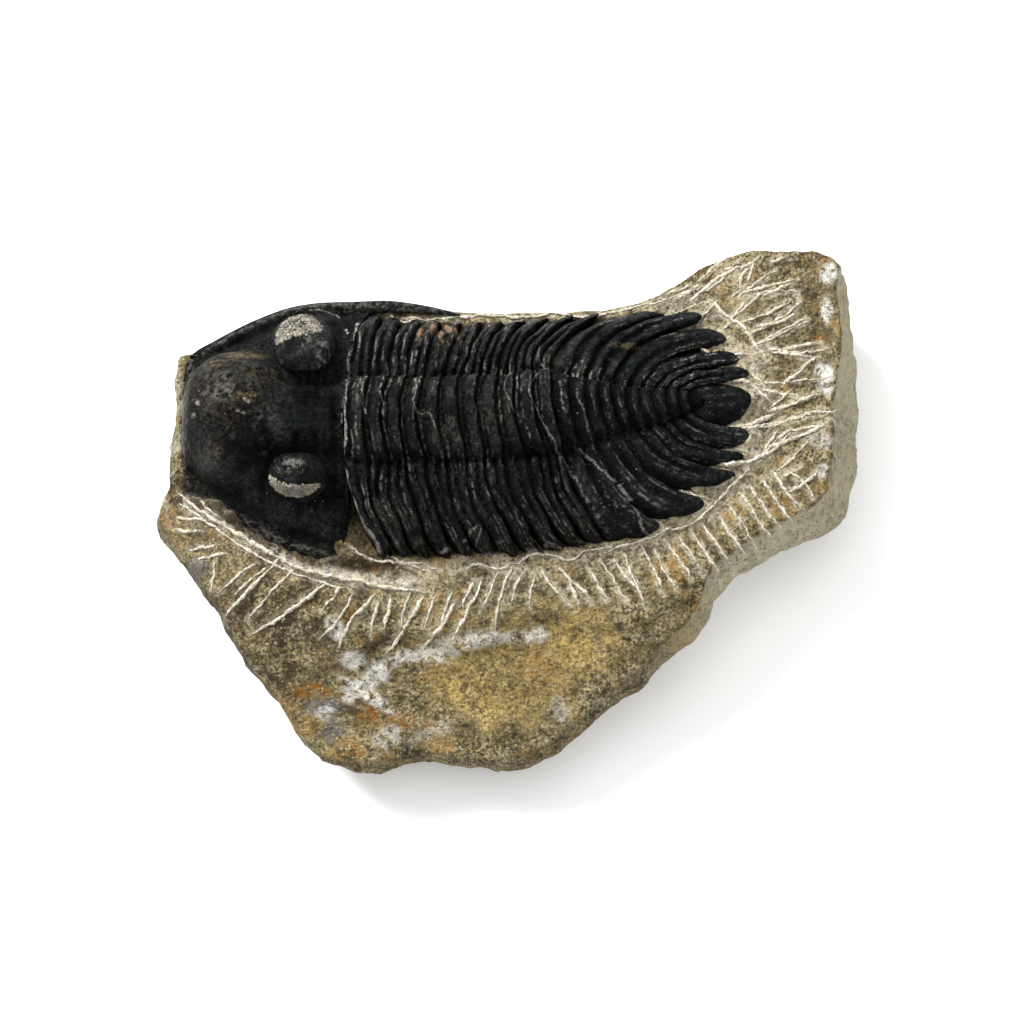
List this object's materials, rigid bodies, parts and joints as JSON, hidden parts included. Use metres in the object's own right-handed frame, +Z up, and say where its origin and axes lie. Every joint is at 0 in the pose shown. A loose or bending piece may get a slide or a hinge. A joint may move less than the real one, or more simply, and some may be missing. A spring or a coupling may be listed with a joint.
{
  "type": "trilobite fossil",
  "caption": "Trilobite fossil with a domed head, towering eyes, ringed thorax and spiny tail, lying belly down on an irregular block of limestone that rests on a flat underside.",
  "frame": {"origin": "centre of the bounding box at the bottom, on the flat underside of the block", "axes": "+X from the head towards the tail, +Y towards the animal's right side, +Z up out of the block"},
  "size_m": [0.0864, 0.0628, 0.0348],
  "materials": {
    "limestone_matrix": "rough, grainy tan and olive limestone with white calcite, rust stains and pale scraped tool marks around the fossil",
    "black_shell": "near-black fossil shell with a low sheen, pale dust in its furrows and tan grains on the eyes"
  },
  "bodies": {
    "root": {"matrix_block": "limestone_matrix", "cephalon": "black_shell", "thorax_segment_01": "black_shell", "thorax_segment_02": "black_shell", "thorax_segment_03": "black_shell", "thorax_segment_04": "black_shell", "thorax_segment_05": "black_shell", "thorax_segment_06": "black_shell", "thorax_segment_07": "black_shell", "thorax_segment_08": "black_shell", "thorax_segment_09": "black_shell", "thorax_segment_10": "black_shell", "thorax_segment_11": "black_shell", "pygidium": "black_shell"}
  },
  "joints": []
}
